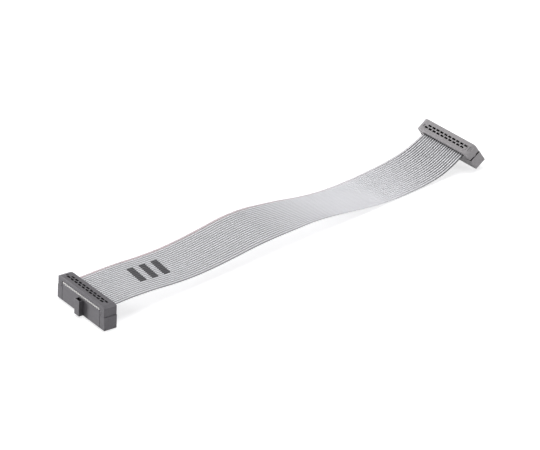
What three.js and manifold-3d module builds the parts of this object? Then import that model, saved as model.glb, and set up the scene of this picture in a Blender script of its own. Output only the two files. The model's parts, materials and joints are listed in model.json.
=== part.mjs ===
// Flat ribbon cable with a female insulation-displacement socket crimped on each end.
// Millimetres, +Z up, +X along the cable from the dark socket to the light one.
// It lies as it was laid down: the dark socket leans on the back edge of its mating face,
// the cable rises in a low hump and dips to the table, and the light socket rests on its key.

import * as THREE from "three";
import { mergeVertices } from "three/addons/utils/BufferGeometryUtils.js";
import Module from "manifold-3d";

const wasm = await Module();
wasm.setup();

// Flat cable
const columns = 10; // contacts in each of a socket's two rows
const conductorPitch = 1.27; // from wire to wire across the cable
const cableThickness = 0.9; // over the insulation of one wire
const webThickness = 0.34; // in the groove between two wires
const crestWidth = 0.5; // flat on top of each wire's insulation
const cableSteps = 24; // sections along the free stretch

// Socket body
const holeSize = 0.95; // square lead-in for a pin at the mating face
const holeDepth = 0.8;
const cavityWidth = 1.9; // along the cable
const cavityLength = 2.16; // across the cable
const cavityRoof = 1.55; // over the cavities, under the cable
const sideWall = 0.68; // outside the two rows of cavities
const endBlock = 3.6; // beyond the first and last cavity's cell
const bodyHeight = 7.45; // to the face that the cable lies on
const ledgeDrop = 1.7; // from that face down to the step under each leg of the cover

// Small features of the body
const seamWidth = 0.25; // upright groove on the key's side, beside each edge of the cable
const seamDepth = 0.12;
const nubProud = 0.1; // latching nubs low on both ends
const nubWidth = 0.45;
const nubBottom = 0.35;
const nubTop = 1.15;
const nubInset = 0.75; // from the middle of a nub to the long side

// Polarising key in the middle of one long side, hollowed from the top
const keyWidth = 3.3;
const keyDepth = 1.9;
const keyDrop = 0.75; // from the face that the cable lies on down to the key's top
const keyWall = 0.35;
const keyPocket = 4.6; // depth of the hollow

// Cover
const coverThickness = 1.65; // over the cable
const coverInset = 0.3; // each end of the cover stands this far inside the body's end
const channelClearance = 0.35; // beside each edge of the cable
const legThickness = 1.9;
const darkSplit = 0.1; // open joint between a leg and the body's ledge, on the dark socket
const lightSplit = 0.5; // the same on the light one, whose cover sits higher on its legs
const footWidth = 1.4; // middle of each leg that closes the open joint
const hookReach = 0.45;
const hookHeight = 0.6;
const endBevelLength = 1.6;
const endBevelDrop = 0.5;
const slotLength = 1.9; // openings over the contacts' tips
const slotWidth = 0.85;
const markSize = 1.3; // triangle that marks the first contact
const markDepth = 0.25;
const grooveWidth = 0.25; // short grooves across the near end of the light cover
const grooveLength = 2.4;
const grooveDepth = 0.25;
const groovePitch = 1.3;

// Contact, stamped from strip
const stripThickness = 0.34;
const forkSpacing = 1.26; // between the two rows of insulation-piercing forks
const forkWidth = 0.8;
const forkSlot = 0.18; // grips the wire
const tipReach = 0.63; // of the tips into the cover's slots
const forkSlotDrop = 0.61; // from the underside of the cable to the slot's root
const tipRise = 0.35;
const bridgeDepth = 0.84; // strip that joins the fork to the two springs
const springBottom = 1.0;
const springOuter = 1.5; // over both springs
const springGap = 0.56; // between them, closed by the pin
const yokeDepth = 1.34; // from the bridge's top to the root of the gap between the springs

// Fits
const seatGap = 0.06; // between parts that lie on each other
const pierceClearance = 0.08; // round a fork in the cable and in the body

// Lie of the cable on the table
const socketSpan = 189.6; // between the two mating faces' middles, along the table
const lean = 6.7; // degrees, dark socket towards the cable
const tilt = 31.4; // degrees, light socket

// Height of the cable's middle at its far and its near edge, at every routeStep from the
// edge that the dark socket leans on.
const routeStep = 10;
const route = [
  [7.6, 7.7],
  [7.1, 7.0],
  [6.2, 5.8],
  [5.8, 5.1],
  [6.2, 5.2],
  [7.1, 5.8],
  [8.2, 6.6],
  [8.3, 6.9],
  [6.9, 6.8],
  [5.0, 6.6],
  [2.8, 5.5],
  [1.2, 3.8],
  [0.55, 2.1],
  [0.5, 1.0],
  [0.9, 0.75],
  [1.7, 1.2],
  [3.7, 3.1],
];

// Worked out from the sizes above
const conductors = 2 * columns;
const contactPitch = 2 * conductorPitch;
const cableWidth = conductors * conductorPitch;
const socketWidth = contactPitch + cavityWidth + 2 * sideWall;
const socketLength = columns * contactPitch + 2 * endBlock;
const ledgeHeight = bodyHeight - ledgeDrop;
const cavityTop = bodyHeight - cavityRoof;
const keyHeight = bodyHeight - keyDrop;
const coverSeat = bodyHeight + seatGap;
const cableLevel = bodyHeight + seatGap + cableThickness / 2;
const coverUnderside = cableLevel + cableThickness / 2 + seatGap;
const socketHeight = coverUnderside + coverThickness;
const coverEnd = socketLength / 2 - coverInset;
const upperEnd = coverEnd - legThickness - seatGap;
const channelEdge = cableWidth / 2 + channelClearance;
const forkTop = coverUnderside + tipReach;
const forkRoot = coverSeat - forkSlotDrop;
const bridgeTop = cavityTop - seatGap;
const bridgeBottom = bridgeTop - bridgeDepth;
const springRoot = bridgeTop - yokeDepth;

const darkPlastic = new THREE.MeshStandardMaterial({ color: 0x6a686a, roughness: 0.55, metalness: 0 });
const lightPlastic = new THREE.MeshStandardMaterial({ color: 0xb4b1b2, roughness: 0.55, metalness: 0 });
const insulation = new THREE.MeshStandardMaterial({ color: 0xcdcfd2, roughness: 0.45, metalness: 0 });
const bronze = new THREE.MeshStandardMaterial({ color: 0xb9a06a, roughness: 0.3, metalness: 1 });

// A closed geometry as a solid that can be joined and cut.
function solidOf(geometry) {
  const loose = geometry.index ? geometry.toNonIndexed() : geometry;
  const bare = new THREE.BufferGeometry().setAttribute("position", loose.getAttribute("position"));
  const merged = mergeVertices(bare, 1e-4);
  const vertProperties = merged.attributes.position.array;
  const triVerts = new Uint32Array(merged.index.array);
  return new wasm.Manifold(new wasm.Mesh({ numProp: 3, vertProperties, triVerts }));
}

function geometryOf(solid) {
  const mesh = solid.getMesh();
  const geometry = new THREE.BufferGeometry();
  geometry.setAttribute("position", new THREE.BufferAttribute(mesh.vertProperties, 3));
  geometry.setIndex(new THREE.BufferAttribute(mesh.triVerts, 1));
  geometry.computeVertexNormals();
  return geometry;
}

// A box from its middle on x and y and its bottom and top.
function block(x, y, width, length, bottom, top) {
  const geometry = new THREE.BoxGeometry(width, length, top - bottom);
  geometry.translate(x, y, (bottom + top) / 2);
  return solidOf(geometry);
}

// An outline in y and z, pushed along x and centred on the given x.
function slab(points, x, width) {
  const shape = new THREE.Shape(points.map(([y, z]) => new THREE.Vector2(y, z)));
  const geometry = new THREE.ExtrudeGeometry(shape, { depth: width, bevelEnabled: false });
  geometry.rotateX(Math.PI / 2);
  geometry.rotateZ(Math.PI / 2);
  geometry.translate(x - width / 2, 0, 0);
  return solidOf(geometry);
}

// Half an outline, from its bottom to its top, closed by its mirror image.
function mirrored(half) {
  const other = half.map(([y, z]) => [-y, z]).reverse();
  return [...half, ...other];
}

// One entry for each contact: its row's side, the middle of its cavity and its wire's place.
const cells = [];
for (let column = 0; column < columns; column += 1) {
  const y = ((columns - 1) / 2 - column) * contactPitch;
  for (const side of [-1, 1]) {
    const wire = y - (side * conductorPitch) / 2;
    cells.push({ side, column, x: (side * contactPitch) / 2, y, forkX: (side * forkSpacing) / 2, wire });
  }
}

function keySolid() {
  const front = -socketWidth / 2 - keyDepth;
  const outer = block(front + (keyDepth + sideWall) / 2, 0, keyDepth + sideWall, keyWidth, 0, keyHeight);
  const hollowDepth = keyDepth - keyWall;
  const hollow = block(
    front + keyWall + hollowDepth / 2,
    0,
    hollowDepth,
    keyWidth - 2 * keyWall,
    keyHeight - keyPocket,
    keyHeight + keyPocket,
  );
  return { outer, hollow };
}

function bodyGeometry(legBottom) {
  const grooveTop = legBottom + hookHeight + seatGap;
  const grooveEnd = upperEnd - hookReach - seatGap;
  const half = [
    [socketLength / 2, 0],
    [socketLength / 2, ledgeHeight],
    [grooveEnd, ledgeHeight],
    [grooveEnd, grooveTop],
    [upperEnd, grooveTop],
    [upperEnd, bodyHeight],
  ];
  const key = keySolid();
  let body = slab(mirrored(half), 0, socketWidth).add(key.outer).subtract(key.hollow);
  for (const end of [-1, 1]) {
    const front = -socketWidth / 2;
    const seamTop = 2 * bodyHeight;
    const seam = block(front, end * channelEdge, 2 * seamDepth, seamWidth, -seamWidth, seamTop);
    body = body.subtract(seam);
    for (const side of [-1, 1]) {
      const x = side * (socketWidth / 2 - nubInset);
      body = body.add(block(x, (end * socketLength) / 2, nubWidth, 2 * nubProud, nubBottom, nubTop));
    }
  }
  const shankWidth = stripThickness + 2 * pierceClearance;
  const shankLength = forkWidth + 2 * pierceClearance;
  for (const cell of cells) {
    const hole = block(cell.x, cell.y, holeSize, holeSize, -holeDepth, 2 * holeDepth);
    const cavity = block(cell.x, cell.y, cavityWidth, cavityLength, holeDepth, cavityTop);
    const shank = block(cell.forkX, cell.wire, shankWidth, shankLength, bridgeBottom, 2 * bodyHeight);
    body = body.subtract(hole).subtract(cavity).subtract(shank);
  }
  return geometryOf(body);
}

function coverGeometry(legBottom, grooves) {
  const legInner = coverEnd - legThickness;
  const half = [
    [channelEdge, coverUnderside],
    [channelEdge, coverSeat],
    [legInner, coverSeat],
    [legInner, legBottom + hookHeight],
    [legInner - hookReach, legBottom + hookHeight],
    [legInner - hookReach, legBottom],
    [coverEnd, legBottom],
    [coverEnd, socketHeight - endBevelDrop],
    [coverEnd - endBevelLength, socketHeight],
  ];
  let cover = slab(mirrored(half), 0, socketWidth);
  for (const end of [-1, 1]) {
    const y = end * (coverEnd - legThickness / 2);
    const footBottom = ledgeHeight + seatGap;
    cover = cover.add(block(0, y, footWidth, legThickness, footBottom, legBottom + hookHeight));
  }
  for (const cell of cells) {
    const slot = block(cell.forkX, cell.wire, slotWidth, slotLength, coverSeat, 2 * socketHeight);
    cover = cover.subtract(slot);
  }
  for (let i = 0; i < grooves; i += 1) {
    const y = -channelEdge - grooveWidth - i * groovePitch;
    const bottom = socketHeight - grooveDepth;
    cover = cover.subtract(block(0, y, grooveLength, grooveWidth, bottom, 2 * socketHeight));
  }
  return geometryOf(cover.subtract(firstContactMark()));
}

// Sunk triangle at the end of the cover that the marked edge of the cable enters.
function firstContactMark() {
  const middle = (channelEdge + coverEnd - endBevelLength) / 2;
  const corners = [
    [-markSize / 2, middle + markSize / 2],
    [-markSize / 2, middle - markSize / 2],
    [markSize / 2, middle],
  ];
  const shape = new THREE.Shape(corners.map(([x, y]) => new THREE.Vector2(x, y)));
  const geometry = new THREE.ExtrudeGeometry(shape, { depth: 2 * markDepth, bevelEnabled: false });
  geometry.translate(0, 0, socketHeight - markDepth);
  return solidOf(geometry);
}

// Fork round the wire at the top, two springs for the pin below, and the strip between them.
function contactGeometry(cell) {
  const halfFork = forkWidth / 2;
  const halfSlot = forkSlot / 2;
  const tip = (halfFork + halfSlot) / 2;
  const fork = mirrored([
    [halfFork, bridgeBottom],
    [halfFork, forkTop - tipRise],
    [tip, forkTop],
    [halfSlot, forkTop - tipRise],
    [halfSlot, forkRoot],
  ]);
  const springs = mirrored([
    [springGap / 2, springRoot],
    [springGap / 2, springBottom],
    [springOuter / 2, springBottom],
    [springOuter / 2, bridgeTop],
  ]);
  const place = (points, y) => points.map(([across, up]) => [across + y, up]);
  const reach = Math.abs(cell.x - cell.forkX) + stripThickness;
  const outerEdge = cell.side * (springOuter / 2);
  const innerEdge = cell.wire - cell.y - (cell.side * forkWidth) / 2;
  const bridge = block(
    (cell.x + cell.forkX) / 2,
    cell.y + (outerEdge + innerEdge) / 2,
    reach,
    Math.abs(outerEdge - innerEdge),
    bridgeBottom,
    bridgeTop,
  );
  const upper = slab(place(fork, cell.wire), cell.forkX, stripThickness);
  const lower = slab(place(springs, cell.y), cell.x, stripThickness);
  return geometryOf(upper.add(lower).add(bridge));
}

// A socket's parts in its own frame: mating face at the bottom, cable passing along x.
function socket(name, plastic, split, grooves) {
  const group = new THREE.Group();
  const legBottom = ledgeHeight + split;
  const add = (part, geometry, material) => {
    const mesh = new THREE.Mesh(geometry, material);
    mesh.name = `${name}_${part}`;
    group.add(mesh);
  };
  add("body", bodyGeometry(legBottom), plastic);
  add("cover", coverGeometry(legBottom, grooves), plastic);
  for (const cell of cells) {
    const number = 2 * cell.column + (cell.side < 0 ? 1 : 2);
    add(`contact_${String(number).padStart(2, "0")}`, contactGeometry(cell), bronze);
  }
  return group;
}

// The dark socket turns about the back edge of its mating face, which stays on the table.
function placeDarkSocket(group) {
  const angle = THREE.MathUtils.degToRad(lean);
  group.rotation.y = angle;
  group.position.set((-Math.cos(angle) * socketWidth) / 2, 0, (Math.sin(angle) * socketWidth) / 2);
}

// The light socket is lifted until the lower corner of its key stands on the table.
function placeLightSocket(group, startX) {
  const angle = THREE.MathUtils.degToRad(tilt);
  group.rotation.y = -angle;
  group.position.set(startX + socketSpan, 0, Math.sin(angle) * (socketWidth / 2 + keyDepth));
}

// Where the middle of the cable passes a socket's face, as a point of the part.
function cableAt(group, localX, y, height) {
  group.updateMatrixWorld(true);
  return new THREE.Vector3(localX, y, cableLevel + height).applyMatrix4(group.matrix);
}

// One edge of the free cable, from face to face. The points before and after it lie inside the
// sockets, so that the curve leaves and enters them in line.
function edgeCurve(from, to, y, column) {
  const start = cableAt(from, socketWidth / 2, y, 0);
  const end = cableAt(to, -socketWidth / 2, y, 0);
  const before = cableAt(from, socketWidth / 2 - routeStep, y, 0);
  const after = cableAt(to, routeStep - socketWidth / 2, y, 0);
  const middle = route.map((heights, i) => new THREE.Vector3((i + 1) * routeStep, y, heights[column]));
  const points = [before, start, ...middle, end, after];
  const curve = new THREE.CatmullRomCurve3(points, false, "catmullrom", 0.5);
  const spans = points.length - 1;
  return (share) => curve.getPoint((1 + share * (spans - 2)) / spans);
}

// Section across the cable: a row of wires, each with a flat crest, and a groove between them.
function cableSection() {
  const top = [];
  for (let wire = 0; wire < conductors; wire += 1) {
    const y = (wire - (conductors - 1) / 2) * conductorPitch;
    top.push([y - conductorPitch / 2, webThickness / 2]);
    top.push([y - crestWidth / 2, cableThickness / 2]);
    top.push([y + crestWidth / 2, cableThickness / 2]);
  }
  top.push([cableWidth / 2, webThickness / 2]);
  const bottom = top.map(([y, h]) => [y, -h]);
  return [...bottom, ...top.reverse()];
}

// The section is extruded straight, one unit for each step, and each step is then moved to its
// place: outer face and inner face of one socket, the free curve, and the other socket's faces.
function cableGeometry(from, to) {
  const farEdge = edgeCurve(from, to, cableWidth / 2, 0);
  const nearEdge = edgeCurve(from, to, -cableWidth / 2, 1);
  const steps = cableSteps + 2;
  const shape = new THREE.Shape(cableSection().map(([y, h]) => new THREE.Vector2(y, h)));
  const geometry = new THREE.ExtrudeGeometry(shape, { depth: steps, steps, bevelEnabled: false });
  const freePoint = (share, y) => {
    const towardsFar = y / cableWidth + 0.5;
    return nearEdge(share).lerp(farEdge(share), towardsFar);
  };
  const position = geometry.getAttribute("position");
  for (let i = 0; i < position.count; i += 1) {
    const y = position.getX(i);
    const height = position.getY(i);
    const step = Math.round(position.getZ(i));
    let point;
    if (step <= 1) {
      point = cableAt(from, (step - 0.5) * socketWidth, y, height);
    } else if (step >= steps - 1) {
      point = cableAt(to, (step - steps + 0.5) * socketWidth, y, height);
    } else {
      const share = (step - 1) / cableSteps;
      const nudge = 0.5 / cableSteps;
      const along = freePoint(share + nudge, y).sub(freePoint(share - nudge, y));
      const across = farEdge(share).sub(nearEdge(share));
      const normal = new THREE.Vector3().crossVectors(along, across).normalize();
      point = freePoint(share, y).addScaledVector(normal, height);
    }
    position.setXYZ(i, point.x, point.y, point.z);
  }
  return pierced(geometry, [from, to]);
}

// Cuts a slit through the cable for each contact's fork.
function pierced(geometry, groups) {
  let cable = solidOf(geometry);
  const slitWidth = stripThickness + 2 * pierceClearance;
  const slitLength = forkWidth + 2 * pierceClearance;
  for (const group of groups) {
    for (const cell of cells) {
      const slit = new THREE.BoxGeometry(slitWidth, slitLength, 2 * cableThickness);
      slit.translate(cell.forkX, cell.wire, cableLevel);
      slit.applyMatrix4(group.matrix);
      cable = cable.subtract(solidOf(slit));
    }
  }
  return geometryOf(cable);
}

const darkSocket = socket("dark", darkPlastic, darkSplit, 0);
const lightSocket = socket("light", lightPlastic, lightSplit, 2);
placeDarkSocket(darkSocket);
placeLightSocket(lightSocket, darkSocket.position.x);

const cable = new THREE.Mesh(cableGeometry(darkSocket, lightSocket), insulation);
cable.name = "ribbon_cable";

// The origin is under the middle of the whole part.
const assembly = new THREE.Group();
assembly.add(darkSocket, lightSocket, cable);
const bounds = new THREE.Box3().setFromObject(assembly, true);
assembly.position.x = -(bounds.min.x + bounds.max.x) / 2;

export default assembly;
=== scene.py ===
"""Flat ribbon cable with a socket pressed on each end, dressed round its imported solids."""

import json
import math

import bmesh
import bpy
from mathutils import Matrix, Vector


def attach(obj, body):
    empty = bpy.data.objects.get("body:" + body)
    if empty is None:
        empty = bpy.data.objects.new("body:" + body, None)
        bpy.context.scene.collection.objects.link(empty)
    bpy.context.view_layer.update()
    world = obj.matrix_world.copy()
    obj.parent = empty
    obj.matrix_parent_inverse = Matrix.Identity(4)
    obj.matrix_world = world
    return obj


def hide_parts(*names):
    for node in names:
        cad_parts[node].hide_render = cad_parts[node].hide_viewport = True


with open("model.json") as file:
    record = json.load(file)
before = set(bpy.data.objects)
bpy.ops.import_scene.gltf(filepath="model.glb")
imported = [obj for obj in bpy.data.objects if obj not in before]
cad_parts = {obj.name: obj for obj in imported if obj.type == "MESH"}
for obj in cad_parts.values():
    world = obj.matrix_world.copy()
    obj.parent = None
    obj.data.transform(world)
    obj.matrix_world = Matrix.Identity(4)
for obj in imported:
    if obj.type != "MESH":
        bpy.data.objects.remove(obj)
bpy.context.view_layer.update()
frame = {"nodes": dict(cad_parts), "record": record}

bl_info = {
    "name": "Ribbon cable",
    "version": (1, 0, 0),
    "blender": (4, 5, 0),
    "location": "View3D > Sidebar > Ribbon cable",
    "description": "Dresses a flat cable and its two sockets with detailed meshes and materials",
    "category": "Add Mesh",
}

MM = 0.001
SOCKETS = ("dark", "light")

# Height of the cable's middle at its far and its near edge, at every step along the table from
# the edge that the dark socket leans on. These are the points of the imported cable's route.
ROUTE_STEP = 0.010
ROUTE = (
    (0.0076, 0.0077),
    (0.0071, 0.0070),
    (0.0062, 0.0058),
    (0.0058, 0.0051),
    (0.0062, 0.0052),
    (0.0071, 0.0058),
    (0.0082, 0.0066),
    (0.0083, 0.0069),
    (0.0069, 0.0068),
    (0.0050, 0.0066),
    (0.0028, 0.0055),
    (0.0012, 0.0038),
    (0.00055, 0.0021),
    (0.0005, 0.0010),
    (0.0009, 0.00075),
    (0.0017, 0.0012),
    (0.0037, 0.0031),
)

# Each lamp's power setting, its direction from the object, its distance, width and height
LAMPS = {
    "key_power": ((-0.53, 0.84, 0.14), 0.9, 0.22, 0.18),
    "fill_power": ((0.50, -0.82, 0.30), 1.0, 0.40, 0.40),
    "top_power": ((0.05, 0.10, 1.0), 0.9, 0.80, 0.60),
}


def linear(hex_colour):
    """An sRGB hex colour as linear red, green, blue and alpha."""
    values = [int(hex_colour[i : i + 2], 16) / 255 for i in (1, 3, 5)]
    scene_values = [v / 12.92 if v <= 0.04045 else ((v + 0.055) / 1.055) ** 2.4 for v in values]
    return (*scene_values, 1.0)


def per_mm(size):
    """Scale of a texture on coordinates in metres whose features are this many millimetres."""
    return 1 / (size * MM)


def size(name, description, default):
    return bpy.props.FloatProperty(
        name=name, description=description, default=default, unit="LENGTH", precision=5
    )


def colour(name, description, default):
    return bpy.props.FloatVectorProperty(
        name=name, description=description, default=linear(default), subtype="COLOR", size=4,
        min=0.0, max=1.0,
    )


def power(name, description, default):
    return bpy.props.FloatProperty(
        name=name, description=description, default=default, unit="POWER"
    )


class FlatCableSettings(bpy.types.PropertyGroup):
    """Sizes and colours of the flat cable."""

    wires: bpy.props.IntProperty(name="Wires", description="Wires side by side", default=20)
    width: size("Width", "Over all the wires", 25.4 * MM)
    thickness: size("Thickness", "Over the insulation of one wire", 0.9 * MM)
    web: size("Web", "Thickness of the skin between two wires", 0.34 * MM)
    stations: bpy.props.IntProperty(
        name="Stations", description="Sections along the free stretch", default=132
    )
    insulation: colour("Insulation", "Grey vinyl of the cable", "#e3e3e7")
    cut: colour("Cut end", "Vinyl sheared clean by the press", "#e2e1e1")
    stripe: colour("Stripe", "Faded ink on the first wire", "#d0bcc0")
    ink: colour("Ink", "Printed bars", "#17151b")
    first_bar: size("First bar", "From the cut end to the middle of the first bar", 26.3 * MM)
    bar_pitch: size("Bar pitch", "From bar to bar", 5.7 * MM)
    bar_width: size("Bar width", "Along the cable", 3.1 * MM)
    bar_length: size("Bar length", "Across the cable", 11.2 * MM)
    bar_middle: size("Bar middle", "Off the cable's middle, towards the far edge", 0.6 * MM)
    core: size("Core", "Diameter of one wire's seven strands", 0.38 * MM)
    copper: colour("Tinned copper", "Cut ends of the strands", "#a89f92")


class SocketSettings(bpy.types.PropertyGroup):
    """Sizes and colours of the two sockets."""

    cable_level: size("Cable level", "Middle of the cable over the mating face", 7.96 * MM)
    width: size("Width", "Along the cable", 5.8 * MM)
    height: size("Height", "From the mating face to the cover's top", 10.12 * MM)
    length: size("Length", "Across the cable", 32.6 * MM)
    joint: size("Joint", "Height of the open joint under the cover's legs", 6.0 * MM)
    key_depth: size("Key depth", "How far the key stands out", 1.9 * MM)
    key_wall: size("Key wall", "Wall round the key's hollow", 0.35 * MM)
    key_width: size("Key width", "Across the cable", 3.3 * MM)
    key_height: size("Key height", "From the mating face to the key's top", 6.7 * MM)
    edge: size("Edge", "Rounding of the moulded edges", 0.13 * MM)
    rim: size("Rim", "Rounding round the small openings", 0.05 * MM)
    lead_in: size("Lead-in", "Chamfer round each hole for a pin", 0.22 * MM)
    dark: colour("Dark plastic", "Moulded polyester of the first socket", "#656367")
    light: colour("Light plastic", "Moulded polyester of the second socket", "#969395")
    bronze: colour("Contact bronze", "Stamped contacts", "#8f7a52")


class StageSettings(bpy.types.PropertyGroup):
    """Camera, floor and lamps."""

    azimuth: bpy.props.FloatProperty(
        name="Azimuth", description="Camera's turn from the front", default=math.radians(-36.36),
        subtype="ANGLE",
    )
    elevation: bpy.props.FloatProperty(
        name="Elevation", description="Camera's height over the horizon",
        default=math.radians(30.93), subtype="ANGLE",
    )
    roll: bpy.props.FloatProperty(
        name="Roll", description="Camera's tilt about its own axis", default=math.radians(2.30),
        subtype="ANGLE",
    )
    distance: size("Distance", "From the camera to its target", 0.9322)
    target: bpy.props.FloatVectorProperty(
        name="Target", description="Point in the middle of the picture",
        default=(-0.02518, -0.02901, 0.02593), subtype="TRANSLATION", unit="LENGTH",
    )
    lens: bpy.props.FloatProperty(
        name="Lens", description="Focal length on a 36 mm wide sensor", default=160.0,
        unit="CAMERA",
    )
    floor: colour("Floor", "Matt pale board", "#cbcbcd")
    floor_glow: bpy.props.FloatProperty(
        name="Floor glow", description="White that the camera sees in the floor's full shadow",
        default=0.7,
    )
    key_power: power("Key lamp", "Low lamp, far on the left", 8.21)
    fill_power: power("Fill lamp", "Lamp near the right", 4.39)
    top_power: power("Top lamp", "Wide soft lamp overhead", 5.85)
    ambient: bpy.props.FloatProperty(
        name="Ambient", description="Even light of the white room", default=0.030
    )


def new_material(name):
    """An empty material with its output still to come."""
    material = bpy.data.materials.new(name)
    material.use_nodes = True
    material.node_tree.nodes.clear()
    return material


def add(owner, kind, inputs=None, **settings):
    """Adds a node to a material or world. An input takes a plain value, a socket, or a node, which
    stands for its own first live output."""
    node = owner.node_tree.nodes.new(kind)
    for name, value in settings.items():
        setattr(node, name, value)
    for name, value in (inputs or {}).items():
        if isinstance(value, bpy.types.Node):
            value = next(output for output in value.outputs if output.enabled)
        if isinstance(value, bpy.types.NodeSocket):
            owner.node_tree.links.new(value, node.inputs[name])
        else:
            node.inputs[name].default_value = value
    return node


def moulded_polyester(name, base):
    """Glass-filled PBT, moulded in a spark-eroded tool: an even satin skin, faintly mottled by
    its glass fibres, with a paler line where an edge has been handled."""
    material = new_material(name)
    place = add(material, "ShaderNodeTexCoord").outputs["Object"]
    # Fibres near the skin show as cloudy mottling of about half a millimetre.
    clouds = add(
        material, "ShaderNodeTexNoise",
        {"Vector": place, "Scale": per_mm(0.55), "Detail": 4.0, "Roughness": 0.6},
    )
    # Flow of the melt along the socket: long faint streaks.
    stretched = add(material, "ShaderNodeMapping", {"Vector": place, "Scale": (1.0, 0.08, 1.0)})
    streaks = add(
        material, "ShaderNodeTexNoise",
        {"Vector": stretched, "Scale": per_mm(0.9), "Detail": 3.0, "Roughness": 0.55},
    )
    mottle = add(
        material, "ShaderNodeMix", {"Factor": 0.4, "A": clouds, "B": streaks}, data_type="FLOAT"
    )
    shade = add(
        material, "ShaderNodeMapRange",
        {"Value": mottle, "From Min": 0.3, "From Max": 0.7, "To Min": 0.86, "To Max": 1.14},
    )
    # Painted shade darkens the walls of the slots, holes and joints, where little light gets in.
    grime = add(material, "ShaderNodeAttribute", attribute_name="grime").outputs["Fac"]
    shaded = add(material, "ShaderNodeMapRange", {"Value": grime, "To Min": shade, "To Max": 0.12})
    tinted = add(
        material, "ShaderNodeVectorMath", {0: base[:3], "Scale": shaded}, operation="SCALE"
    )
    # Handled edges are polished and paler.
    edge = add(material, "ShaderNodeAttribute", attribute_name="edge").outputs["Fac"]
    scuffs = add(
        material, "ShaderNodeTexNoise",
        {"Vector": place, "Scale": per_mm(2.2), "Detail": 5.0, "Roughness": 0.7},
    )
    worn = add(material, "ShaderNodeMath", {0: edge, 1: scuffs}, operation="MULTIPLY")
    polished = (*[min(1.0, c * 1.35 + 0.015) for c in base[:3]], 1.0)
    paler = add(
        material, "ShaderNodeMix", {"Factor": worn, "A": tinted, "B": polished}, data_type="RGBA"
    )
    finish = add(
        material, "ShaderNodeMapRange",
        {"Value": scuffs, "From Min": 0.3, "From Max": 0.7, "To Min": 0.5, "To Max": 0.62},
    )
    # The tool's spark grain, drawn at 0.25 mm because the real 0.03 mm would not show.
    grain = add(
        material, "ShaderNodeTexNoise",
        {"Vector": place, "Scale": per_mm(0.25), "Detail": 3.0, "Roughness": 0.6},
    )
    bump = add(
        material, "ShaderNodeBump", {"Height": grain, "Strength": 0.35, "Distance": 0.02 * MM}
    )
    shader = add(
        material, "ShaderNodeBsdfPrincipled",
        {"Base Color": paler, "Roughness": finish, "Normal": bump, "IOR": 1.55,
         "Specular IOR Level": 0.3},
    )
    add(material, "ShaderNodeOutputMaterial", {"Surface": shader})
    return material


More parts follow.
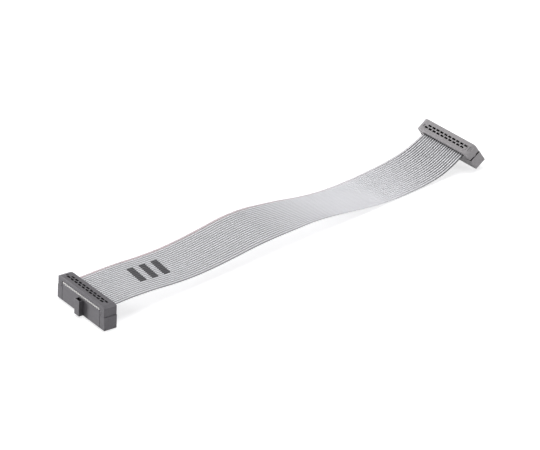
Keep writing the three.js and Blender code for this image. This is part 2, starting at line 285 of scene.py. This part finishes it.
def printed_vinyl(cable, length, mouth):
    """Flexible grey PVC, extruded over the wires: smooth and a little waxy, with painted shade in
    its grooves, a faded stripe on the first wire and bars printed on the crests."""
    material = new_material("flexible PVC insulation")
    lay = add(material, "ShaderNodeAttribute", attribute_name="lay").outputs["Vector"]
    along, across, height = add(material, "ShaderNodeSeparateXYZ", {0: lay}).outputs
    # Slow changes of tone along the cable, from its handling.
    drift = add(
        material, "ShaderNodeTexNoise", {"Vector": lay, "Scale": per_mm(14.0), "Detail": 3.0}
    )
    tone = add(
        material, "ShaderNodeMapRange",
        {"Value": drift, "From Min": 0.3, "From Max": 0.7, "To Min": 0.97, "To Max": 1.03},
    )
    # Painted shade darkens the grooves, most by the light socket and not at all where the cable
    # lies flat.
    off_middle = add(material, "ShaderNodeMath", {0: height}, operation="ABSOLUTE")
    groove = add(
        material, "ShaderNodeMapRange",
        {"Value": off_middle, "From Min": cable.web / 2, "From Max": cable.thickness * 0.445,
         "To Min": 1.0, "To Max": 0.0},
    )
    by_light = add(
        material, "ShaderNodeMapRange",
        {"Value": along, "From Min": length - 52 * MM, "From Max": length - 16 * MM,
         "To Min": 0.0, "To Max": 0.93},
    )
    by_dark = add(
        material, "ShaderNodeMapRange",
        {"Value": along, "From Min": 85 * MM, "From Max": 130 * MM, "To Min": 0.66, "To Max": 0.0},
    )
    groove_shade = add(material, "ShaderNodeMath", {0: by_light, 1: by_dark}, operation="MAXIMUM")
    shaded_grooves = add(material, "ShaderNodeMath", {0: groove, 1: groove_shade}, operation="MULTIPLY")
    # A line of painted shadow where the cable goes into the light socket.
    entry = length - mouth
    entry_shadow = add(
        material, "ShaderNodeMapRange",
        {"Value": along, "From Min": entry - 0.75 * MM, "From Max": entry - 0.2 * MM,
         "To Min": 0.0, "To Max": 0.85},
    )
    # Painted shade of the grooves and painted shadow at the entry together
    shaded = add(material, "ShaderNodeMath", {0: shaded_grooves, 1: entry_shadow}, operation="MAXIMUM")
    shade = add(material, "ShaderNodeMapRange", {"Value": shaded, "To Min": tone, "To Max": 0.0})
    grey = add(
        material, "ShaderNodeVectorMath", {0: cable.insulation[:3], "Scale": shade},
        operation="SCALE",
    )
    # The stripe covers the first wire, at the far edge. It is rubbed, and fades along the cable.
    pitch = cable.width / cable.wires
    on_first = add(
        material, "ShaderNodeMapRange",
        {"Value": across, "From Min": cable.width / 2 - pitch * 1.02,
         "From Max": cable.width / 2 - pitch * 0.9},
    )
    rub = add(
        material, "ShaderNodeTexNoise",
        {"Vector": lay, "Scale": per_mm(2.5), "Detail": 6.0, "Roughness": 0.7},
    )
    left = add(
        material, "ShaderNodeMapRange",
        {"Value": rub, "From Min": 0.35, "From Max": 0.6, "To Min": 0.35, "To Max": 0.85},
    )
    faded = add(
        material, "ShaderNodeMapRange",
        {"Value": along, "From Min": 60 * MM, "From Max": 160 * MM,
         "To Min": left, "To Max": 0.12},
    )
    striping = add(material, "ShaderNodeMath", {0: on_first, 1: faded}, operation="MULTIPLY")
    striped = add(
        material, "ShaderNodeMix", {"Factor": striping, "A": grey, "B": cable.stripe},
        data_type="RGBA",
    )
    # Three bars, printed on the upper side and a little out of square, with rough edges.
    rough = add(
        material, "ShaderNodeMapRange",
        {"Value": rub, "From Min": 0.3, "From Max": 0.7,
         "To Min": -0.12 * MM, "To Max": 0.12 * MM},
    )
    slant = -0.085
    skewed = add(
        material, "ShaderNodeMath", {0: across, 1: slant, 2: along}, operation="MULTIPLY_ADD"
    )
    from_first = add(
        material, "ShaderNodeMath", {0: skewed, 1: cable.first_bar}, operation="SUBTRACT"
    )
    off_bar = add(
        material, "ShaderNodeMath", {0: from_first, 1: cable.bar_pitch / 2}, operation="PINGPONG"
    )
    rough_bar = add(material, "ShaderNodeMath", {0: off_bar, 1: rough}, operation="ADD")
    in_width = add(
        material, "ShaderNodeMath", {0: rough_bar, 1: cable.bar_width / 2}, operation="LESS_THAN"
    )
    of_three = add(
        material, "ShaderNodeMath", {0: from_first, 1: cable.bar_pitch, 2: cable.bar_pitch * 1.5},
        operation="COMPARE",
    )
    rough_across = add(material, "ShaderNodeMath", {0: across, 1: rough}, operation="ADD")
    in_length = add(
        material, "ShaderNodeMath",
        {0: rough_across, 1: cable.bar_middle, 2: cable.bar_length / 2}, operation="COMPARE",
    )
    on_top = add(material, "ShaderNodeMath", {0: height, 1: 0.0}, operation="GREATER_THAN")
    on_bar = add(material, "ShaderNodeMath", {0: in_width, 1: of_three}, operation="MULTIPLY")
    on_upper = add(material, "ShaderNodeMath", {0: in_length, 1: on_top}, operation="MULTIPLY")
    printed = add(material, "ShaderNodeMath", {0: on_bar, 1: on_upper}, operation="MULTIPLY")
    # The roller leaves less ink in the grooves.
    inked = add(
        material, "ShaderNodeMapRange",
        {"Value": groove, "From Min": 0.3, "From Max": 0.95, "To Min": 1.0, "To Max": 0.75},
    )
    cover = add(material, "ShaderNodeMath", {0: printed, 1: inked}, operation="MULTIPLY")
    marked = add(
        material, "ShaderNodeMix", {"Factor": cover, "A": striped, "B": cable.ink},
        data_type="RGBA",
    )
    # The press sheared both ends clean.
    to_end = add(material, "ShaderNodeMath", {0: along, 1: length / 2}, operation="PINGPONG")
    sheared = add(material, "ShaderNodeMath", {0: to_end, 1: 0.01 * MM}, operation="LESS_THAN")
    vinyl = add(
        material, "ShaderNodeMix", {"Factor": sheared, "A": marked, "B": cable.cut},
        data_type="RGBA",
    )
    # Die lines run the length of each wire, about a tenth of a millimetre apart.
    drawn_out = add(material, "ShaderNodeMapping", {"Vector": lay, "Scale": (0.02, 1.0, 1.0)})
    lines = add(
        material, "ShaderNodeTexNoise", {"Vector": drawn_out, "Scale": per_mm(0.12), "Detail": 2.0}
    )
    bump = add(
        material, "ShaderNodeBump", {"Height": lines, "Strength": 0.3, "Distance": 0.01 * MM}
    )
    finish = add(
        material, "ShaderNodeMapRange",
        {"Value": drift, "From Min": 0.3, "From Max": 0.7, "To Min": 0.4, "To Max": 0.52},
    )
    shader = add(
        material, "ShaderNodeBsdfPrincipled",
        {"Base Color": vinyl, "Roughness": finish, "IOR": 1.53, "Normal": bump},
    )
    add(material, "ShaderNodeOutputMaterial", {"Surface": shader})
    return material


def tinned_copper(base):
    """Tinned annealed copper, sheared by the press: bright, with a torn grain."""
    material = new_material("tinned copper strand")
    place = add(material, "ShaderNodeTexCoord").outputs["Object"]
    grain = add(
        material, "ShaderNodeTexNoise",
        {"Vector": place, "Scale": per_mm(0.08), "Detail": 3.0, "Roughness": 0.6},
    )
    finish = add(
        material, "ShaderNodeMapRange",
        {"Value": grain, "From Min": 0.3, "From Max": 0.7, "To Min": 0.28, "To Max": 0.5},
    )
    shader = add(
        material, "ShaderNodeBsdfPrincipled",
        {"Base Color": base, "Metallic": 1.0, "Roughness": finish},
    )
    add(material, "ShaderNodeOutputMaterial", {"Surface": shader})
    return material


def stamped_bronze(base):
    """Phosphor bronze strip, stamped and dulled by oxide: warm, satin, with rolling lines."""
    material = new_material("phosphor bronze")
    place = add(material, "ShaderNodeTexCoord").outputs["Object"]
    tarnish = add(
        material, "ShaderNodeTexNoise",
        {"Vector": place, "Scale": per_mm(0.7), "Detail": 4.0, "Roughness": 0.6},
    )
    shade = add(
        material, "ShaderNodeMapRange",
        {"Value": tarnish, "From Min": 0.3, "From Max": 0.7, "To Min": 0.6, "To Max": 1.05},
    )
    toned = add(
        material, "ShaderNodeVectorMath", {0: base[:3], "Scale": shade}, operation="SCALE"
    )
    rolled = add(material, "ShaderNodeMapping", {"Vector": place, "Scale": (1.0, 1.0, 0.05)})
    lines = add(
        material, "ShaderNodeTexNoise", {"Vector": rolled, "Scale": per_mm(0.1), "Detail": 2.0}
    )
    finish = add(
        material, "ShaderNodeMapRange",
        {"Value": lines, "From Min": 0.3, "From Max": 0.7, "To Min": 0.3, "To Max": 0.45},
    )
    shader = add(
        material, "ShaderNodeBsdfPrincipled",
        {"Base Color": toned, "Metallic": 1.0, "Roughness": finish},
    )
    add(material, "ShaderNodeOutputMaterial", {"Surface": shader})
    return material


def white_board(base, glow):
    """Matt coated board. The camera sees it glow almost to white, so that its shadows stay faint,
    reflections see it white, and from below it is clear, to show the object's underside."""
    material = new_material("matt coated board")
    path = add(material, "ShaderNodeLightPath")
    mirrored = add(
        material, "ShaderNodeMath",
        {0: path.outputs["Is Glossy Ray"], 1: path.outputs["Is Transmission Ray"]},
        operation="MAXIMUM",
    )
    seen = add(
        material, "ShaderNodeMath",
        {0: path.outputs["Is Camera Ray"], 1: glow, 2: mirrored}, operation="MULTIPLY_ADD",
    )
    fibres = add(
        material, "ShaderNodeTexNoise", {"Scale": per_mm(1.5), "Detail": 3.0, "Roughness": 0.5}
    )
    matt = add(
        material, "ShaderNodeMapRange",
        {"Value": fibres, "From Min": 0.3, "From Max": 0.7, "To Min": 0.85, "To Max": 0.95},
    )
    board = add(material, "ShaderNodeBsdfPrincipled", {"Base Color": base, "Roughness": matt})
    light = add(
        material, "ShaderNodeEmission", {"Color": (1.0, 1.0, 1.0, 1.0), "Strength": seen}
    )
    lit = add(material, "ShaderNodeAddShader", {0: board, 1: light})
    below = add(material, "ShaderNodeNewGeometry").outputs["Backfacing"]
    clear = add(material, "ShaderNodeBsdfTransparent")
    both = add(material, "ShaderNodeMixShader", {0: below, 1: lit, 2: clear})
    add(material, "ShaderNodeOutputMaterial", {"Surface": both})
    return material


def finished(name, bm, material):
    """Makes an object of a bmesh that already stands in its place."""
    mesh = bpy.data.meshes.new(name)
    bm.to_mesh(mesh)
    bm.free()
    mesh.materials.append(material)
    piece = bpy.data.objects.new(name, mesh)
    bpy.context.scene.collection.objects.link(piece)
    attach(piece, "root")
    return piece


def socket_frame(socket):
    """A socket's own frame: mating face's middle at the origin, +Y across the cable, +Z up to the
    cover."""
    mounts = {mount["name"]: mount for mount in frame["record"]["mounts"]}
    mount = mounts[f"{socket}_mating_face"]
    up = -Vector(mount["axis"])
    across = Vector((0.0, 1.0, 0.0))
    along = across.cross(up)
    turned = Matrix((along, across, up)).transposed().to_4x4()
    return Matrix.Translation(mount["pos_m"]) @ turned


def catmull_rom(points, share):
    """Point on the stretch from the second point to the one before the last."""
    spans = len(points) - 3
    span = min(int(share * spans), spans - 1)
    t = share * spans - span
    before, start, end, after = points[span : span + 4]
    bend = 2 * before - 5 * start + 4 * end - after
    twist = 3 * start - before - 3 * end + after
    return (2 * start + (end - before) * t + bend * t * t + twist * t * t * t) / 2


class CableLay:
    """Where each point of the flat cable lies, from its distance along and across."""

    def __init__(self, cable, socket):
        self.half = cable.width / 2
        self.level = socket.cable_level
        self.face = socket.width / 2
        self.dark = socket_frame("dark")
        self.light = socket_frame("light")
        self.far = self.edge(self.half, 0)
        self.near = self.edge(-self.half, 1)
        inside = 3
        free = cable.stations
        self.stations = [("dark", i / inside) for i in range(inside)]
        self.stations += [("free", i / free) for i in range(free + 1)]
        self.stations += [("light", (i + 1) / inside) for i in range(inside)]

    def edge(self, y, column):
        """Control points of one edge, with one inside each socket."""
        start_x = (self.dark @ Vector((self.face, 0, 0))).x
        route = [Vector((start_x + (i + 1) * ROUTE_STEP, y, heights[column]))
                 for i, heights in enumerate(ROUTE)]
        before = self.dark @ Vector((self.face - ROUTE_STEP, y, self.level))
        start = self.dark @ Vector((self.face, y, self.level))
        end = self.light @ Vector((-self.face, y, self.level))
        after = self.light @ Vector((ROUTE_STEP - self.face, y, self.level))
        return [before, start, *route, end, after]

    def middle(self, share, y):
        """Point of the cable's middle surface on the free stretch."""
        towards_far = y / (2 * self.half) + 0.5
        return catmull_rom(self.near, share).lerp(catmull_rom(self.far, share), towards_far)

    def point(self, station, y, height):
        """Point at a height over the cable's middle surface."""
        where, share = station
        if where == "dark":
            return self.dark @ Vector(((2 * share - 1) * self.face, y, self.level + height))
        if where == "light":
            return self.light @ Vector(((2 * share - 1) * self.face, y, self.level + height))
        nudge = 0.002
        low, high = max(share - nudge, 0.0), min(share + nudge, 1.0)
        along = self.middle(high, y) - self.middle(low, y)
        across = catmull_rom(self.far, share) - catmull_rom(self.near, share)
        normal = along.cross(across).normalized()
        return self.middle(share, y) + normal * height

    def path(self):
        """The cable's middle line, from cut end to cut end."""
        return [self.point(station, 0.0, 0.0) for station in self.stations]


def cable_section(cable):
    """Upper half of the section as (across, height), from the far edge to the near one. Each wire
    is round and runs into the web with a small fillet."""
    pitch = cable.width / cable.wires
    radius = cable.thickness / 2
    web = cable.web / 2
    # Shares of the radius at which the outline is sampled, from the middle of a wire outwards
    shares = (0.0, 0.35, 0.67, 0.9, 1.03)
    offsets = sorted({-pitch / 2, *[s * radius for s in shares], *[-s * radius for s in shares]})
    outline = []
    for wire in range(cable.wires):
        middle = (wire - (cable.wires - 1) / 2) * pitch
        for offset in offsets:
            circle = math.sqrt(max(radius**2 - offset**2, 0.0))
            height = (circle**6 + web**6) ** (1 / 6)
            outline.append((middle + offset, height))
    outline.append((cable.width / 2, web))
    return outline[::-1]


class RIBBON_OT_cable(bpy.types.Operator):
    """Make the flat cable from cut end to cut end"""

    bl_idname = "ribbon.cable"
    bl_label = "Flat cable"

    def execute(self, context):
        cable = context.scene.flat_cable
        socket = context.scene.ribbon_sockets
        lay = CableLay(cable, socket)
        upper = cable_section(cable)
        section = upper + [(across, -height) for across, height in reversed(upper)]
        path = lay.path()
        run = [0.0]
        for previous, point in zip(path, path[1:]):
            run.append(run[-1] + (point - previous).length)
        round_steps, along_steps = len(section), len(path) - 1
        bm = bmesh.new()
        bmesh.ops.create_grid(bm, x_segments=round_steps, y_segments=along_steps, size=0.5)
        where = bm.verts.layers.float_vector.new("lay")
        for vert in bm.verts:
            turn = round((vert.co.x + 0.5) * round_steps) % round_steps
            row = round((vert.co.y + 0.5) * along_steps)
            across, height = section[turn]
            vert[where] = (run[row], across, height)
            vert.co = lay.point(lay.stations[row], across, height)
        bmesh.ops.remove_doubles(bm, verts=bm.verts, dist=1e-6)
        for face in bm.faces:
            face.smooth = True
        rims = [edge for edge in bm.edges if edge.is_boundary]
        caps = bmesh.ops.holes_fill(bm, edges=rims, sides=0)["faces"]
        for face in caps:
            face.smooth = False
        bmesh.ops.triangulate(bm, faces=caps)
        bmesh.ops.recalc_face_normals(bm, faces=bm.faces)
        vinyl = printed_vinyl(cable, run[-1], socket.width)
        piece = finished("flat_cable", bm, vinyl)
        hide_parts("ribbon_cable")
        return {"FINISHED"}


class RIBBON_OT_wire_ends(bpy.types.Operator):
    """Make the sheared copper strands that show at the cable's two cut ends"""

    bl_idname = "ribbon.wire_ends"
    bl_label = "Wire ends"

    def execute(self, context):
        cable = context.scene.flat_cable
        socket = context.scene.ribbon_sockets
        metal = tinned_copper(cable.copper)
        pitch = cable.width / cable.wires
        strand = cable.core / 6
        proud = 0.02 * MM
        centres = [(0.0, 0.0)]
        for turn in range(6):
            angle = math.radians(60 * turn)
            centres.append((2 * strand * math.cos(angle), 2 * strand * math.sin(angle)))
        for name, side in zip(SOCKETS, (-1, 1)):
            place = socket_frame(name)
            bm = bmesh.new()
            for wire in range(cable.wires):
                across = (wire - (cable.wires - 1) / 2) * pitch
                for y, z in centres:
                    turned = Matrix.Rotation(side * math.pi / 2, 4, "Y")
                    spot = Vector((side * socket.width / 2, across + y, socket.cable_level + z))
                    bmesh.ops.create_cone(
                        bm, cap_ends=True, segments=8, radius1=strand, radius2=strand * 0.8,
                        depth=2 * proud, matrix=place @ Matrix.Translation(spot) @ turned,
                    )
            finished(f"{name}_wire_ends", bm, metal)
        return {"FINISHED"}


class Moulding:
    """Rounds the edges of a packed socket part and marks its handled edges, and the walls that get
    painted shade. It works in the socket's own frame."""

    # Closer than this, a point lies on a face
    NEAR = 0.02 * MM
    # The contacts stand further in than this from the long sides and from the ends
    IN_FROM_SIDES = 0.5 * MM
    IN_FROM_ENDS = 2 * MM
    # The edges on both sides of the joint lie within this of its level
    JOINT_REACH = 0.55 * MM
    # The ledge and the legs' undersides lie within this of it
    LEDGE_REACH = 0.4 * MM
    # The marks moulded in the cover's top are shallower than this
    MARK_DEPTH = 0.35 * MM

    def __init__(self, name, place, socket):
        self.socket = socket
        self.place = place
        # The light socket's cover isn't pressed fully home, and painted shade darkens its open
        # joint.
        self.shaded_joint = name.startswith("light")
        self.half_width = socket.width / 2
        self.half_length = socket.length / 2
        self.bm = bmesh.new()
        self.bm.from_mesh(frame["nodes"][name].data)
        bmesh.ops.transform(self.bm, matrix=place.inverted(), verts=self.bm.verts)
        bmesh.ops.remove_doubles(self.bm, verts=self.bm.verts, dist=1e-6)
        bmesh.ops.dissolve_limit(
            self.bm, angle_limit=math.radians(1), verts=self.bm.verts, edges=self.bm.edges,
            delimit=set(),
        )
        self.worn = self.bm.faces.layers.float.new("edge")
        # Faces that get painted shade
        self.grime = self.bm.faces.layers.float.new("grime")

    def convex(self, edge):
        """Whether an edge stands out sharply enough to be rounded."""
        return edge.is_manifold and edge.calc_face_angle_signed(0.0) > math.radians(20)

    def over_contacts(self, point):
        """Whether a point is over or under the rows of contacts."""
        x, y, _ = point
        within_sides = abs(x) < self.half_width - self.IN_FROM_SIDES
        return within_sides and abs(y) < self.half_length - self.IN_FROM_ENDS

    def on_shell(self, edge):
        """Whether both ends lie on the socket's long sides, away from the sharp joint."""
        inside = self.half_width - self.NEAR
        if all(abs(vert.co.z - self.socket.joint) < self.JOINT_REACH for vert in edge.verts):
            return False
        return all(abs(vert.co.x) > inside for vert in edge.verts)

    def at_level(self, edge, level):
        """Whether both ends lie at this height, round an opening over or under the contacts."""
        return all(
            abs(vert.co.z - level) < self.NEAR and self.over_contacts(vert.co)
            for vert in edge.verts
        )

    def round_off(self, chosen, width, segments):
        edges = [edge for edge in self.bm.edges if self.convex(edge) and chosen(edge)]
        if not edges:
            return
        made = bmesh.ops.bevel(
            self.bm, geom=edges, offset=width, offset_type="OFFSET", affect="EDGES",
            segments=segments, profile=0.5, material=-1, clamp_overlap=True,
        )
        for face in made["faces"]:
            face[self.worn] = 1.0
            face.smooth = True

    def paint_shade(self):
        """Marks the walls of the slots, cavities and open joint, and of the key's hollow, for
        painted shade.
        """
        socket = self.socket
        skin = 0.1 * MM
        # Set off from the body's own side, which gets no painted shade
        key_back = -self.half_width - 0.05 * MM
        key_front = key_back - socket.key_depth + socket.key_wall / 2
        hollow = (socket.key_width - socket.key_wall) / 2
        for face in self.bm.faces:
            x, y, z = middle = face.calc_center_median()
            below_marks = skin < z < socket.height - self.MARK_DEPTH
            in_slot = self.over_contacts(middle) and below_marks
            level = abs(z - socket.joint) < self.LEDGE_REACH and abs(face.normal.z) > 0.9
            in_joint = self.shaded_joint and level
            off_floor = 1 * MM < z < socket.key_height - skin
            in_key = key_front < x < key_back and abs(y) < hollow and off_floor
            # These walls get painted shade
            if in_slot or in_joint or in_key:
                face[self.grime] = 1.0

    def shaped(self):
        socket = self.socket
        self.round_off(self.on_shell, socket.edge, 2)
        self.round_off(lambda edge: self.at_level(edge, 0.0), socket.lead_in, 1)
        self.round_off(lambda edge: self.at_level(edge, socket.height), socket.rim, 1)
        self.paint_shade()
        bmesh.ops.transform(self.bm, matrix=self.place, verts=self.bm.verts)
        return self.bm


class RIBBON_OT_sockets(bpy.types.Operator):
    """Make the moulded body and cover of each socket"""

    bl_idname = "ribbon.sockets"
    bl_label = "Socket bodies and covers"

    def execute(self, context):
        socket = context.scene.ribbon_sockets
        for name in SOCKETS:
            plastic = moulded_polyester(f"{name} glass-filled polyester", getattr(socket, name))
            for part in ("body", "cover"):
                bm = Moulding(f"{name}_{part}", socket_frame(name), socket).shaped()
                piece = finished(f"{name}_socket_{part}", bm, plastic)
                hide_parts(f"{name}_{part}")
        return {"FINISHED"}


class RIBBON_OT_contacts(bpy.types.Operator):
    """Give the stamped contacts their metal"""

    bl_idname = "ribbon.contacts"
    bl_label = "Contacts"

    def execute(self, context):
        metal = stamped_bronze(context.scene.ribbon_sockets.bronze)
        for name, node in frame["nodes"].items():
            if "_contact_" in name:
                node.data.materials.clear()
                node.data.materials.append(metal)
        return {"FINISHED"}


class RIBBON_OT_stage(bpy.types.Operator):
    """Set up the camera, the floor, the lamps and the white room"""

    bl_idname = "ribbon.stage"
    bl_label = "Stage"

    def execute(self, context):
        scene = context.scene
        stage = scene.ribbon_stage
        scene.view_settings.view_transform = "Standard"
        self.camera(scene, stage)
        self.floor(stage)
        self.room(scene, stage)
        for setting, (direction, distance, width, height) in LAMPS.items():
            self.lamp(scene, setting, Vector(direction).normalized(), distance, width, height)
        return {"FINISHED"}

    def camera(self, scene, stage):
        data = bpy.data.cameras.new("camera")
        data.lens = stage.lens
        data.sensor_width = 36.0
        data.clip_start = 0.01
        data.clip_end = 20.0
        camera = bpy.data.objects.new("camera", data)
        scene.collection.objects.link(camera)
        flat = math.cos(stage.elevation)
        back = Vector((
            math.sin(stage.azimuth) * flat,
            -math.cos(stage.azimuth) * flat,
            math.sin(stage.elevation),
        ))
        aim = (-back).to_track_quat("-Z", "Y").to_matrix().to_4x4()
        eye = Vector(stage.target) + back * stage.distance
        turned = Matrix.Rotation(-stage.roll, 4, "Z")
        camera.matrix_world = Matrix.Translation(eye) @ aim @ turned
        scene.camera = camera

    def lamp(self, scene, setting, back, distance, width, height):
        """A soft box that faces the middle of the object."""
        name = setting.replace("power", "lamp")
        data = bpy.data.lights.new(name, "AREA")
        data.shape = "RECTANGLE"
        data.size = width
        data.size_y = height
        data.energy = getattr(scene.ribbon_stage, setting)
        lamp = bpy.data.objects.new(name, data)
        scene.collection.objects.link(lamp)
        lamp.location = back * distance
        lamp.rotation_euler = (-back).to_track_quat("-Z", "Y").to_euler()

    def floor(self, stage):
        bm = bmesh.new()
        bmesh.ops.create_grid(bm, x_segments=1, y_segments=1, size=3.0)
        mesh = bpy.data.meshes.new("floor")
        bm.to_mesh(mesh)
        bm.free()
        mesh.materials.append(white_board(stage.floor, stage.floor_glow))
        board = bpy.data.objects.new("floor", mesh)
        bpy.context.scene.collection.objects.link(board)

    def room(self, scene, stage):
        world = bpy.data.worlds.new("white room")
        world.use_nodes = True
        world.node_tree.nodes.clear()
        path = add(world, "ShaderNodeLightPath")
        mirrored = add(
            world, "ShaderNodeMath",
            {0: path.outputs["Is Glossy Ray"], 1: path.outputs["Is Transmission Ray"]},
            operation="MAXIMUM",
        )
        seen = add(
            world, "ShaderNodeMath", {0: path.outputs["Is Camera Ray"], 1: mirrored},
            operation="MAXIMUM",
        )
        strength = add(
            world, "ShaderNodeMapRange", {"Value": seen, "To Min": stage.ambient, "To Max": 1.0}
        )
        light = add(
            world, "ShaderNodeBackground", {"Color": (1.0, 1.0, 1.0, 1.0), "Strength": strength}
        )
        add(world, "ShaderNodeOutputWorld", {"Surface": light})
        scene.world = world


class RIBBON_PT_panel(bpy.types.Panel):
    """Lists the steps that make the ribbon cable"""

    bl_idname = "RIBBON_PT_panel"
    bl_label = "Ribbon cable"
    bl_space_type = "VIEW_3D"
    bl_region_type = "UI"
    bl_category = "Ribbon cable"

    def draw(self, context):
        for step in STEPS:
            self.layout.operator(step.bl_idname)


SETTINGS = {
    "flat_cable": FlatCableSettings,
    "ribbon_sockets": SocketSettings,
    "ribbon_stage": StageSettings,
}
STEPS = (
    RIBBON_OT_stage,
    RIBBON_OT_cable,
    RIBBON_OT_wire_ends,
    RIBBON_OT_sockets,
    RIBBON_OT_contacts,
)


def register():
    for kind in (*SETTINGS.values(), *STEPS, RIBBON_PT_panel):
        bpy.utils.register_class(kind)
    for name, kind in SETTINGS.items():
        setattr(bpy.types.Scene, name, bpy.props.PointerProperty(type=kind))


def unregister():
    for name in SETTINGS:
        delattr(bpy.types.Scene, name)
    for kind in (RIBBON_PT_panel, *reversed(STEPS), *reversed(SETTINGS.values())):
        bpy.utils.unregister_class(kind)


def main():
    register()
    bpy.ops.ribbon.stage()
    bpy.ops.ribbon.cable()
    bpy.ops.ribbon.wire_ends()
    bpy.ops.ribbon.sockets()
    bpy.ops.ribbon.contacts()


if __name__ == "__main__":
    main()
